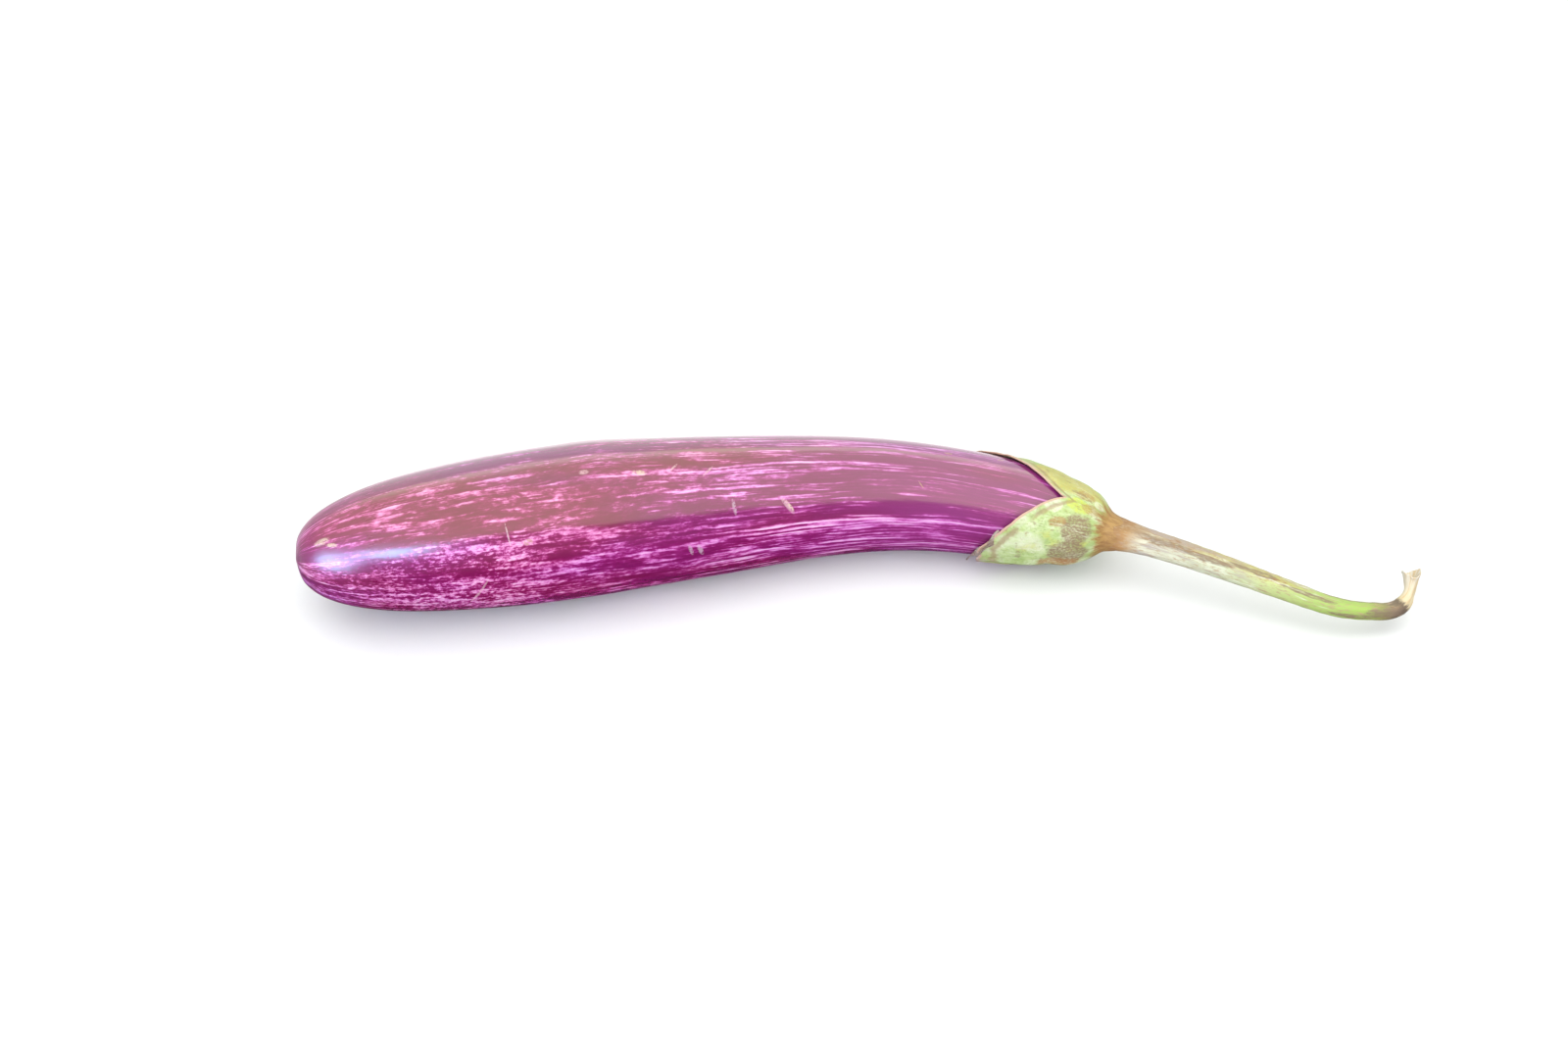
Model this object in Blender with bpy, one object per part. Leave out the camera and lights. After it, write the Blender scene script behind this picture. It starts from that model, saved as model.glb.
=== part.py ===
"""A long striped eggplant as picked, lying on its side: the fruit, its leafy calyx and its stem.

Everything is designed straight, along one spine that starts at the blossom end, and each point is then
carried to where the bent spine lies. Metres, +Z up. The table is z = 0, the origin is the middle of the
footprint, the blossom end points to -X and the stem to +X.
"""

import math

import bmesh
import bpy
import numpy as np
from mathutils import Vector
from mathutils.geometry import interpolate_bezier

# Fruit: a turned outline, with distances along the spine.
FRUIT_LENGTH = 0.220  # blossom end to the top of the fruit, under the calyx
BELLY_FROM_TIP = 0.080  # where the fruit is thickest
BELLY_RADIUS = 0.0213
NECK_FROM_TOP = 0.026  # where the slim neck ends and the shoulder begins
NECK_RADIUS = 0.0139
TIP_BLUNTNESS = 0.0140  # how far the outline rises straight out of the blossom end
NOSE_SWEEP = 0.060  # how far ahead of the belly the nose is already nearly full width
BELLY_SWEEP = 0.012  # how far behind the belly it stays full
NECK_SWEEP = 0.044  # how far ahead of the neck the taper eases off
NECK_SLOPE = 0.0018  # how much wider the fruit still is there
SHOULDER_SWEEP = 0.014  # how far past the neck it stays nearly as wide
SHOULDER_SLOPE = 0.0005
TOP_BLUNTNESS = 0.0110  # how wide the flat top of the fruit is before the shoulder turns

# Calyx: a green cap over the top of the fruit, split into pointed lobes.
CALYX_GAP = 0.0003  # between the lining of the cap and the fruit
CALYX_THICKNESS = 0.0014
MARGIN_THICKNESS = 0.0007  # the lobes thin out to this at their edges
CROWN_HEIGHT = 0.0050  # the solid crown, from the top of the fruit to the foot of the stem
CROWN_RADIUS = 0.0056
CAP_DEPTH = 0.0090  # how far the rounded cap reaches below the top of the fruit
CAP_SWEEP = 0.0090
CAP_SWELL = 0.0002  # how far the rounded cap stands proud of the lobes
CROWN_SWEEP = 0.0020
CROWN_FLARE = 0.0018
DOME_DEPTH = 0.0050  # the cap is unbroken down to here, above every notch
# Each lobe: the angle of its tip round the spine in degrees (0 faces -Y, 90 is up), how far the tip
# reaches below the top of the fruit, and how far it stands off the fruit.
LOBES = (
    (-24, 0.034, 0.0016),
    (165, 0.034, 0.0008),
    (207, 0.031, 0.0010),
    (258, 0.030, 0.0),
)
# The notch after each lobe: its angle in degrees, and its depth below the top of the fruit.
NOTCHES = (
    (80, 0.0065),
    (187, 0.0150),
    (228, 0.0120),
    (292, 0.0110),
)
LOBE_FULLNESS = 0.85  # below 1 fills the lobes out and sharpens the notches

# Stem: a slim green stalk with a dry flared end, where it parted from the plant.
STEM_GAP = 0.0003  # between the crown and the foot of the stem
STEM_LENGTH = 0.0942
FOOT_LENGTH = 0.018  # the flared foot that grows out of the crown
FOOT_STEP = 0.0002  # how much slimmer the foot is than the crown it stands on
FOOT_SWEEP = 0.0022
FOOT_FLARE = 0.0008
STEM_RADIUS = 0.0036  # just past the foot
STEM_END_RADIUS = 0.0023  # before the dry end
DRY_END_LENGTH = 0.010
DRY_NECK_RADIUS = 0.0016
MOUTH_LENGTH = 0.006  # from the dry neck to the broken face
MOUTH_RADIUS = 0.0028
MOUTH_DEPTH = 0.0012  # the hollow in the broken face
MOUTH_FLOOR_RADIUS = 0.0012

# Bends of the spine, in degrees. Headings are in plan, from +X towards +Y, and slopes are above level.
START_HEADING = 10.7
FRUIT_BEND = 30.7  # the fruit bends back from here to the foot of the stem
FRUIT_BEND_FROM_CROWN = 0.104
FRUIT_BEND_LENGTH = 0.109
STEM_DROOP = 7.6  # how steeply the stem falls away from the crown
DROOP_LENGTH = 0.038
STEM_SWAY = 24.0  # a softer bend just before the hook
SWAY_LENGTH = 0.019
HOOK_LENGTH = 0.018  # the last stretch of the stem, which hooks round and up
HOOK_HEADING = 89.0
HOOK_SLOPE = 55.0

# How much of the underside its own weight presses flat.
FRUIT_FLAT_DEPTH = 0.0004
CALYX_FLAT_DEPTH = 0.0002

# Fineness of the solids.
SPINE_STEP = 0.0005
OUTLINE_POINTS = 15  # on each stretch of the fruit's outline
FRUIT_SIDES = 36
CALYX_SIDES = 72
CAP_POINTS = 10
LOBE_RINGS = 9
FOOT_POINTS = 8
SHAFT_POINTS = 24
DRY_POINTS = 6
STEM_SIDES = 16

# Finishes: a linear colour and a roughness.
SKIN_FINISH = ((0.235, 0.012, 0.105, 1.0), 0.28)
CALYX_FINISH = ((0.40, 0.47, 0.16, 1.0), 0.6)
STEM_FINISH = ((0.36, 0.50, 0.14, 1.0), 0.55)

NECK_PLACE = FRUIT_LENGTH - NECK_FROM_TOP
DOME_PLACE = FRUIT_LENGTH - DOME_DEPTH
CROWN_PLACE = FRUIT_LENGTH + CROWN_HEIGHT
UNDERSIDE = math.radians(270)
FOOT_RADIUS = CROWN_RADIUS - FOOT_STEP
STEM_START = CROWN_PLACE + STEM_GAP
SPINE_END = STEM_START + STEM_LENGTH
TABLE_SIZE = 4 * SPINE_END


def sweep(start, start_handle, end_handle, end, count):
    """Points on one smooth stretch of an outline, each a (place along the spine, radius)."""
    knots = [Vector((*point, 0.0)) for point in (start, start_handle, end_handle, end)]
    return [(point.x, point.y) for point in interpolate_bezier(*knots, count)]


def radius_on(outline, place):
    places, radii = zip(*outline)
    return float(np.interp(place, places, radii))


def fruit_outline():
    """Half of the fruit's outline, from the blossom end to its top."""
    belly = (BELLY_FROM_TIP, BELLY_RADIUS)
    neck = (NECK_PLACE, NECK_RADIUS)
    before_belly = (BELLY_FROM_TIP - NOSE_SWEEP, BELLY_RADIUS)
    after_belly = (BELLY_FROM_TIP + BELLY_SWEEP, BELLY_RADIUS)
    before_neck = (NECK_PLACE - NECK_SWEEP, NECK_RADIUS + NECK_SLOPE)
    after_neck = (NECK_PLACE + SHOULDER_SWEEP, NECK_RADIUS - SHOULDER_SLOPE)
    nose = sweep((0.0, 0.0), (0.0, TIP_BLUNTNESS), before_belly, belly, OUTLINE_POINTS)
    taper = sweep(belly, after_belly, before_neck, neck, OUTLINE_POINTS)
    top = (FRUIT_LENGTH, 0.0)
    shoulder = sweep(neck, after_neck, (FRUIT_LENGTH, TOP_BLUNTNESS), top, OUTLINE_POINTS)
    return nose + taper[1:] + shoulder[1:]


def offset_outline(outline, distance):
    """The same outline, moved square to itself by this distance."""
    points = np.array(outline)
    along = np.gradient(points, axis=0)
    along /= np.linalg.norm(along, axis=1)[:, None]
    outward = np.column_stack((-along[:, 1], along[:, 0]))
    return [tuple(point) for point in points + distance * outward]


FRUIT_OUTLINE = fruit_outline()
LINING_OUTLINE = offset_outline(FRUIT_OUTLINE, CALYX_GAP)
LOBE_OUTLINE = offset_outline(FRUIT_OUTLINE, CALYX_GAP + CALYX_THICKNESS)


def cap_outline():
    """The outside of the cap, from the lobes to the rim that carries the stem."""
    place = FRUIT_LENGTH - CAP_DEPTH
    side = radius_on(LOBE_OUTLINE, place)
    after_side = (place + CAP_SWEEP, side + CAP_SWELL)
    before_rim = (CROWN_PLACE - CROWN_SWEEP, CROWN_RADIUS + CROWN_FLARE)
    return sweep((place, side), after_side, before_rim, (CROWN_PLACE, CROWN_RADIUS), CAP_POINTS)


CAP_OUTLINE = cap_outline()


def lobe_edge(angle):
    """At this angle, how far the calyx reaches below the top of the fruit and stands off it."""
    degrees = math.degrees(angle)
    for index, (tip_angle, tip_reach, tip_lift) in enumerate(LOBES):
        offset = (degrees - tip_angle + 180) % 360 - 180
        notch_angle, notch_depth = NOTCHES[index] if offset >= 0 else NOTCHES[index - 1]
        spread = abs((notch_angle - tip_angle + 180) % 360 - 180)
        if abs(offset) <= spread:
            share = (1 - abs(offset) / spread) ** LOBE_FULLNESS
            return notch_depth + share * (tip_reach - notch_depth), share * tip_lift
    raise ValueError(f"no lobe covers {degrees:.0f} degrees")


def lobe_cut(angle):
    """The lobe's two faces at this angle, each from the cap to the edge."""
    reach, lift = lobe_edge(angle)
    inside = []
    outside = []
    for index in range(LOBE_RINGS + 1):
        share = index / LOBE_RINGS
        place = DOME_PLACE - share * (reach - DOME_DEPTH)
        inner = radius_on(LINING_OUTLINE, place) + lift * share**2
        if place > CAP_OUTLINE[0][0]:
            thickness = radius_on(CAP_OUTLINE, place) - radius_on(LINING_OUTLINE, place)
        else:
            thickness = CALYX_THICKNESS
        thickness += share**2 * (MARGIN_THICKNESS - thickness)
        inside.append((place, inner))
        outside.append((place, inner + thickness))
    return inside, outside


def stem_outline():
    """The outside of the stem, from its foot to the broken face of its dry end."""
    foot = (STEM_START, FOOT_RADIUS)
    shaft = (STEM_START + FOOT_LENGTH, STEM_RADIUS)
    shaft_end = (SPINE_END - DRY_END_LENGTH, STEM_END_RADIUS)
    dry_neck = (SPINE_END - MOUTH_LENGTH, DRY_NECK_RADIUS)
    mouth = (SPINE_END, MOUTH_RADIUS)
    after_foot = (STEM_START + FOOT_SWEEP, FOOT_RADIUS - FOOT_FLARE)
    before_shaft = (STEM_START + FOOT_LENGTH / 2, STEM_RADIUS)
    middle = (shaft[0] + (shaft_end[0] - shaft[0]) / 2, (STEM_RADIUS + STEM_END_RADIUS) / 2)
    before_dry = (dry_neck[0] - DRY_NECK_RADIUS, DRY_NECK_RADIUS)
    after_dry = (dry_neck[0] + DRY_NECK_RADIUS, DRY_NECK_RADIUS)
    before_mouth = (SPINE_END - DRY_NECK_RADIUS, (DRY_NECK_RADIUS + MOUTH_RADIUS) / 2)
    stretches = (
        sweep(foot, after_foot, before_shaft, shaft, FOOT_POINTS),
        sweep(shaft, middle, middle, shaft_end, SHAFT_POINTS),
        sweep(shaft_end, shaft_end, before_dry, dry_neck, DRY_POINTS),
        sweep(dry_neck, after_dry, before_mouth, mouth, DRY_POINTS),
    )
    outline = [stretches[0][0]]
    for stretch in stretches:
        outline += stretch[1:]
    return outline


def eased(share):
    """0 to 1 with no corner at either end."""
    share = min(max(share, 0.0), 1.0)
    return share * share * (3 - 2 * share)


def turned(place, start, length, degrees):
    """How much of a bend the spine has made at this place."""
    return math.radians(degrees) * eased((place - start) / length)


def heading(place):
    fruit_bend = turned(place, CROWN_PLACE - FRUIT_BEND_FROM_CROWN, FRUIT_BEND_LENGTH, FRUIT_BEND)
    sway = turned(place, SPINE_END - HOOK_LENGTH - SWAY_LENGTH, SWAY_LENGTH, STEM_SWAY)
    hook = turned(place, SPINE_END - HOOK_LENGTH, HOOK_LENGTH, HOOK_HEADING)
    return math.radians(START_HEADING) - fruit_bend + sway + hook


def stem_slope(place):
    droop = turned(place, CROWN_PLACE, DROOP_LENGTH, STEM_DROOP)
    hook = turned(place, SPINE_END - HOOK_LENGTH, HOOK_LENGTH, STEM_DROOP + HOOK_SLOPE)
    return hook - droop


CALYX_SEAT = max(radius for place, radius in lobe_cut(UNDERSIDE)[1]) - CALYX_FLAT_DEPTH


def seat_height(place):
    """How high the spine lies for the fruit and then the calyx to rest on the table."""
    fruit_seat = radius_on(FRUIT_OUTLINE, min(max(place, BELLY_FROM_TIP), NECK_PLACE))
    share = eased((place - BELLY_FROM_TIP) / (NECK_PLACE - BELLY_FROM_TIP))
    return fruit_seat + share * (CALYX_SEAT - NECK_RADIUS) - (1 - share) * FRUIT_FLAT_DEPTH


def walk_spine():
    """The spine in small steps from the blossom end: the places along it and its points."""
    places = np.arange(0.0, SPINE_END + 2 * SPINE_STEP, SPINE_STEP)
    point = Vector((0.0, 0.0, seat_height(0.0)))
    points = [point.copy()]
    for place in places[:-1]:
        if place < CROWN_PLACE:
            climb = seat_height(place + SPINE_STEP) - seat_height(place)
        else:
            climb = SPINE_STEP * math.sin(stem_slope(place))
        level = math.sqrt(SPINE_STEP**2 - climb**2)
        turn = heading(place)
        point += Vector((level * math.cos(turn), level * math.sin(turn), climb))
        points.append(point.copy())
    return places, np.array(points)


SPINE_PLACES, SPINE_POINTS = walk_spine()


def spine_point(place):
    return Vector([np.interp(place, SPINE_PLACES, row) for row in SPINE_POINTS.T])


def bent(place, radius, angle):
    """A point of the straight design on the bent spine. An angle of 0 faces -Y, and a quarter turn is up."""
    reach = 2 * SPINE_STEP
    along = spine_point(place + reach) - spine_point(max(place - reach, 0.0))
    side = along.cross(Vector((0.0, 0.0, 1.0))).normalized()
    up = side.cross(along).normalized()
    return spine_point(place) + (math.cos(angle) * side + math.sin(angle) * up) * float(radius)


def around(count):
    return [2 * math.pi * index / count for index in range(count)]


def turned_rings(outline, sides):
    return [[bent(place, radius, angle) for angle in around(sides)] for place, radius in outline]


def make_material(name, colour, roughness):
    material = bpy.data.materials.new(name)
    material.use_nodes = True
    shader = material.node_tree.nodes["Principled BSDF"]
    shader.inputs["Base Color"].default_value = colour
    shader.inputs["Roughness"].default_value = roughness
    shader.inputs["Metallic"].default_value = 0.0
    return material


def skinned(name, rings, finish):
    """One closed body through a run of rings. The first and last rings are filled to their middles."""
    work = bmesh.new()
    loops = [[work.verts.new(point) for point in ring] for ring in rings]
    for lower, upper in zip(loops, loops[1:]):
        for index, corner in enumerate(lower):
            after = (index + 1) % len(lower)
            work.faces.new((corner, lower[after], upper[after], upper[index]))
    for loop in (loops[0], loops[-1]):
        middle = work.verts.new(sum((vert.co for vert in loop), Vector()) / len(loop))
        for index, corner in enumerate(loop):
            work.faces.new((corner, loop[(index + 1) % len(loop)], middle))
    bmesh.ops.recalc_face_normals(work, faces=work.faces)
    mesh = bpy.data.meshes.new(name)
    work.to_mesh(mesh)
    work.free()
    mesh.shade_smooth()
    mesh.materials.append(make_material(name, *finish))
    body = bpy.data.objects.new(name, mesh)
    bpy.context.scene.collection.objects.link(body)
    return body


def make_calyx():
    """The cap: down its lining to the lobes' edges, back up its outside, and over the crown."""
    dome = [point for point in LINING_OUTLINE[-2::-1] if point[0] > DOME_PLACE]
    cap = [point for point in CAP_OUTLINE if point[0] > DOME_PLACE]
    columns = []
    for angle in around(CALYX_SIDES):
        inside, outside = lobe_cut(angle)
        columns.append([bent(place, radius, angle) for place, radius in inside + outside[::-1]])
    lobe_rings = list(zip(*columns))
    rings = turned_rings(dome, CALYX_SIDES) + lobe_rings + turned_rings(cap, CALYX_SIDES)
    return skinned("calyx", rings, CALYX_FINISH)


def make_fruit():
    return skinned("fruit", turned_rings(FRUIT_OUTLINE[1:-1], FRUIT_SIDES), SKIN_FINISH)


def make_stem():
    mouth_floor = (SPINE_END - MOUTH_DEPTH, MOUTH_FLOOR_RADIUS)
    rings = turned_rings(stem_outline() + [mouth_floor], STEM_SIDES)
    return skinned("stem", rings, STEM_FINISH)


def make_table():
    """A cutter whose top is the table. It takes off what would lie below."""
    bpy.ops.mesh.primitive_cube_add(size=TABLE_SIZE, location=(0.0, 0.0, -TABLE_SIZE / 2))
    table = bpy.context.object
    table.name = "table"
    table.hide_render = True
    table.display_type = "WIRE"
    return table


def press_flat(body, table):
    cut = body.modifiers.new("pressed_flat", "BOOLEAN")
    cut.operation = "DIFFERENCE"
    cut.object = table


def centre_footprint(bodies):
    """Moves the bodies so that the middle of their footprint is the origin."""
    bpy.context.view_layer.update()
    graph = bpy.context.evaluated_depsgraph_get()
    corners = [Vector(corner) for body in bodies for corner in body.evaluated_get(graph).bound_box]
    middle = Vector([(min(row) + max(row)) / 2 for row in zip(*corners)])
    middle.z = 0.0
    for body in bodies:
        body.location = -middle


def main():
    for leftover in list(bpy.data.objects):
        bpy.data.objects.remove(leftover)
    table = make_table()
    fruit = make_fruit()
    calyx = make_calyx()
    stem = make_stem()
    press_flat(fruit, table)
    press_flat(calyx, table)
    centre_footprint([fruit, calyx, stem])


main()
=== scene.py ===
# %% [markdown]
# # A striped eggplant, lying on its side
#
# The object is one long, slender eggplant as it was picked: a glossy purple fruit with fine pale
# streaks, a leafy green calyx that hugs its top, and a thin stem with a dry, flared end. The plain
# solids are loaded first as a fixed frame. Each of them is then replaced by a finely modelled piece
# in the same place. All lengths are in metres.

# %% Load the frame
import math

import bpy
import numpy as np
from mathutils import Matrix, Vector, noise
from mathutils.geometry import interpolate_bezier


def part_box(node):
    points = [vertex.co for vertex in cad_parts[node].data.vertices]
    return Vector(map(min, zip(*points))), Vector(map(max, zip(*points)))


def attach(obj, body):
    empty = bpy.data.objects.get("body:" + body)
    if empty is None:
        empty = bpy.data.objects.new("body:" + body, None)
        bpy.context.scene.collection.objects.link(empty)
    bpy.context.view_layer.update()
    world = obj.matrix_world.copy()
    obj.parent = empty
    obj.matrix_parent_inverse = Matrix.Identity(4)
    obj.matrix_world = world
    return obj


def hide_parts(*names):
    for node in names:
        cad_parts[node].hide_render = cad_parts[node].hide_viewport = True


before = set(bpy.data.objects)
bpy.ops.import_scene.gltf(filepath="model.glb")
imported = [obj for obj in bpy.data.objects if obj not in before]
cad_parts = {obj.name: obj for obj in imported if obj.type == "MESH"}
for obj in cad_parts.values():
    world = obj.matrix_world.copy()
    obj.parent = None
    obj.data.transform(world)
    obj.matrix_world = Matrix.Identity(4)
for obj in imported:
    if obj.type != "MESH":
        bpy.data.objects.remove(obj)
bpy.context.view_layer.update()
print("nodes:", sorted(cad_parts))

# %% [markdown]
# ## Camera
#
# A long lens from well above the table keeps the long fruit free of perspective swelling. The camera
# looks along +Y and down. It aims a little to the blossom end's side of the middle.

# %% Camera
LENS = 80.0
SENSOR_WIDTH = 36.0
CAMERA_ELEVATION = math.radians(49)
CAMERA_DISTANCE = 0.954
AIM = Vector((-0.0207, 0.0004, 0.018))

towards_camera = Vector((0.0, -math.cos(CAMERA_ELEVATION), math.sin(CAMERA_ELEVATION)))
bpy.ops.object.camera_add(location=AIM + CAMERA_DISTANCE * towards_camera)
camera = bpy.context.object
camera.name = "camera"
camera.rotation_euler = (math.radians(90) - CAMERA_ELEVATION, 0.0, 0.0)
camera.data.lens = LENS
camera.data.sensor_width = SENSOR_WIDTH
bpy.context.scene.camera = camera
print("camera at", tuple(round(value, 3) for value in camera.location))

# %% [markdown]
# ## Floor and light
#
# Waxy skin shows its surroundings, so what hangs over the fruit matters as much as how bright it is.
# One could light and reflect with the same lamps, but then every change of a glint changes the
# shading too. So two large panels, overhead and in front, only light, and five others are only seen in
# the wax. A warm ceiling lays a veil over the upper half, and two pale walls rim the outline. Two small
# cool panels make the glint at the blossom end and draw it out along the veil's lower edge. Their beams
# are narrow, so they don't show elsewhere on the fruit. The room below and in front stays dark, so that
# the lower half keeps its deep colour.

# %% Floor
FLOOR_SIZE = 6.0

bpy.ops.object.select_all(action="DESELECT")
bpy.ops.mesh.primitive_plane_add(size=FLOOR_SIZE)
floor = bpy.context.object
floor.name = "floor"
floor.visible_glossy = False


# %% Light panels
def light_panel(name, location, aim, size, power, colour, lights=True, seen=True, spread=180):
    """A soft lamp that faces the aim, with its beam's spread in degrees. It lights, is seen, or both."""
    bpy.ops.object.light_add(type="AREA", location=location)
    panel = bpy.context.object
    panel.name = name
    panel.rotation_euler = (Vector(aim) - Vector(location)).to_track_quat("-Z", "Y").to_euler()
    panel.data.shape = "RECTANGLE"
    panel.data.size, panel.data.size_y = size
    panel.data.energy = power
    panel.data.color = colour
    panel.data.spread = math.radians(spread)
    panel.visible_diffuse = lights
    panel.visible_glossy = seen
    print(f"{name}: {size[0]} x {size[1]} m, {power} W")


light_panel(
    "overhead", (0.0, -0.35, 1.5), (0.0, 0.0, 0.0), (3.4, 2.8), 80.0, (1.0, 0.985, 0.96), seen=False
)
light_panel(
    "front", (0.0, -2.2, 0.7), (0.0, 0.0, 0.0), (3.0, 1.2), 33.0, (1.0, 0.98, 1.0), seen=False
)
light_panel(
    "ceiling", (0.0, 0.8, 1.1), (0.0, 0.8, 0.0), (5.0, 4.2), 180.0, (0.86, 0.92, 0.48), lights=False
)
light_panel(
    "window", (-0.250, -0.125, 0.075), (-0.138, -0.018, 0.035), (0.13, 0.09), 0.15, (0.34, 0.66, 1.0),
    lights=False, spread=50,
)
light_panel(
    "skylight", (-0.225, -0.31, 0.245), (-0.12, -0.015, 0.045), (0.21, 0.07), 0.12, (0.34, 0.62, 1.0),
    lights=False, spread=45,
)
light_panel(
    "side_wall", (-2.3, 0.2, -0.4), (0.0, 0.2, -0.4), (3.4, 2.6), 36.0, (0.88, 0.93, 1.0), lights=False
)
light_panel(
    "wall", (0.0, 2.4, -0.7), (0.0, 0.0, -0.7), (6.0, 4.6), 130.0, (1.0, 0.96, 0.96), lights=False
)

world = bpy.data.worlds.new("room")
world.use_nodes = True
bpy.context.scene.world = world
room = world.node_tree.nodes["Background"]
room.inputs["Color"].default_value = (0.84, 0.88, 1.0, 1.0)
# The wax must not mirror a bright room through the table, so the room is dark below the horizon.
direction = world.node_tree.nodes.new("ShaderNodeTexCoord")
upwards = world.node_tree.nodes.new("ShaderNodeSeparateXYZ")
strength = world.node_tree.nodes.new("ShaderNodeMapRange")
for name, value in (("From Min", -0.15), ("From Max", 0.05), ("To Min", 0.03), ("To Max", 0.35)):
    strength.inputs[name].default_value = value
world.node_tree.links.new(direction.outputs["Generated"], upwards.inputs[0])
world.node_tree.links.new(upwards.outputs["Z"], strength.inputs["Value"])
world.node_tree.links.new(strength.outputs[0], room.inputs["Strength"])
bpy.context.scene.view_settings.view_transform = "Standard"

# %% [markdown]
# ## The spine
#
# A bent fruit is easiest to shape straight and to bend at the end. So every piece is modelled along
# +X, with x as the place along the fruit from its blossom end. One curve, the spine, then carries all
# three pieces into their bends with a Curve modifier, which is why they still meet afterwards. The
# spine follows the same few bends as the solids do.

# %% Sizes of the straight design
FRUIT_LENGTH = 0.220
BELLY_PLACE, BELLY_RADIUS = 0.080, 0.0213
NECK_PLACE, NECK_RADIUS = 0.194, 0.0139
CROWN_PLACE = 0.225
STEM_START = 0.2253
SPINE_END = 0.3195

GAP = 0.0003


def sweep(start, start_handle, end_handle, end, count):
    """Points on one smooth stretch of an outline, each a (place, radius)."""
    knots = [Vector((*point, 0.0)) for point in (start, start_handle, end_handle, end)]
    return [(point.x, point.y) for point in interpolate_bezier(*knots, count)]


def radius_on(outline, place):
    places, radii = zip(*outline)
    return np.interp(place, places, radii)


OUTLINE_POINTS = 16
belly = (BELLY_PLACE, BELLY_RADIUS)
neck = (NECK_PLACE, NECK_RADIUS)
nose = sweep((0.0, 0.0), (0.0, 0.0140), (0.020, BELLY_RADIUS), belly, OUTLINE_POINTS)
taper = sweep(belly, (0.092, BELLY_RADIUS), (0.150, 0.0157), neck, OUTLINE_POINTS)
shoulder = sweep(neck, (0.208, 0.0134), (FRUIT_LENGTH, 0.0110), (FRUIT_LENGTH, 0.0), OUTLINE_POINTS)
fruit_outline = nose + taper[1:] + shoulder[1:]
print(f"the fruit's outline has {len(fruit_outline)} points")

FOOT_RADIUS = 0.0054
SHAFT_PLACE, SHAFT_RADIUS = STEM_START + 0.018, 0.0036
DRY_PLACE, DRY_RADIUS = SPINE_END - 0.010, 0.0023
DRY_NECK_PLACE, DRY_NECK_RADIUS = SPINE_END - 0.006, 0.0016
MOUTH_RADIUS = 0.0028

inside_crown = [(0.2222, 0.0050), (0.2240, 0.0053)]
foot = sweep(
    (STEM_START, FOOT_RADIUS), (0.2275, 0.0046), (STEM_START + 0.009, SHAFT_RADIUS),
    (SHAFT_PLACE, SHAFT_RADIUS), 10,
)
shaft = sweep(
    (SHAFT_PLACE, SHAFT_RADIUS), (0.266, 0.0033), (0.288, 0.0026), (DRY_PLACE, DRY_RADIUS), 34
)
dry_end = sweep(
    (DRY_PLACE, DRY_RADIUS), (0.3112, 0.0022), (0.3122, DRY_NECK_RADIUS),
    (DRY_NECK_PLACE, DRY_NECK_RADIUS), 7,
)
flare = sweep(
    (DRY_NECK_PLACE, DRY_NECK_RADIUS), (0.3152, DRY_NECK_RADIUS), (0.3180, 0.0022),
    (SPINE_END, MOUTH_RADIUS), 8,
)
mouth = [
    (SPINE_END + 0.0001, MOUTH_RADIUS - 0.0003), (SPINE_END - 0.0008, 0.0019), (SPINE_END - 0.003, 0.0011)
]
stem_outline = inside_crown + foot + shaft[1:] + dry_end[1:] + flare[1:] + mouth
print(f"the stem's outline has {len(stem_outline)} points")


# %% Bends of the spine
def eased(share):
    """0 to 1 with no corner at either end."""
    share = np.clip(share, 0.0, 1.0)
    return share * share * (3 - 2 * share)


def turned(place, start, length, degrees):
    """How much of a bend the spine has made at this place."""
    return math.radians(degrees) * eased((place - start) / length)


SPINE_STEP = 0.0005
RUN_OUT = 0.006  # how far the curve runs on past the stem's mouth
FIRST_HEADING = 10.7
BEND_START, BEND_LENGTH, BEND = 0.121, 0.109, 30.7
HOOK_LENGTH, HOOK, HOOK_RISE = 0.018, 89.0, 55.0
HOOK_START = SPINE_END - HOOK_LENGTH
SWAY_LENGTH, SWAY = 0.019, 24.0
SWAY_START = HOOK_START - SWAY_LENGTH
DROOP_LENGTH, DROOP = 0.038, 7.6

places = np.arange(0.0, SPINE_END + RUN_OUT, SPINE_STEP)
heading = math.radians(FIRST_HEADING) - turned(places, BEND_START, BEND_LENGTH, BEND)
heading += turned(places, SWAY_START, SWAY_LENGTH, SWAY) + turned(places, HOOK_START, HOOK_LENGTH, HOOK)
slope = turned(places, HOOK_START, HOOK_LENGTH, DROOP + HOOK_RISE)
slope = slope - turned(places, CROWN_PLACE, DROOP_LENGTH, DROOP)

# The height of the spine is what lets the belly and then the calyx rest on the table.
BELLY_FLAT = 0.0004
CALYX_SEAT = 0.0147
resting = radius_on(fruit_outline, np.clip(places, BELLY_PLACE, NECK_PLACE))
share = eased((places - BELLY_PLACE) / (NECK_PLACE - BELLY_PLACE))
resting = resting + share * (CALYX_SEAT - NECK_RADIUS) - (1 - share) * BELLY_FLAT
climb = np.where(places < CROWN_PLACE, np.append(np.diff(resting), 0.0), SPINE_STEP * np.sin(slope))
level = np.sqrt(SPINE_STEP**2 - climb**2)
steps = np.column_stack((level * np.cos(heading), level * np.sin(heading), climb))
spine_points = np.vstack(((0.0, 0.0, resting[0]), steps[:-1])).cumsum(axis=0)
print("the spine ends at", np.round(spine_points[-1], 4))


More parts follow.
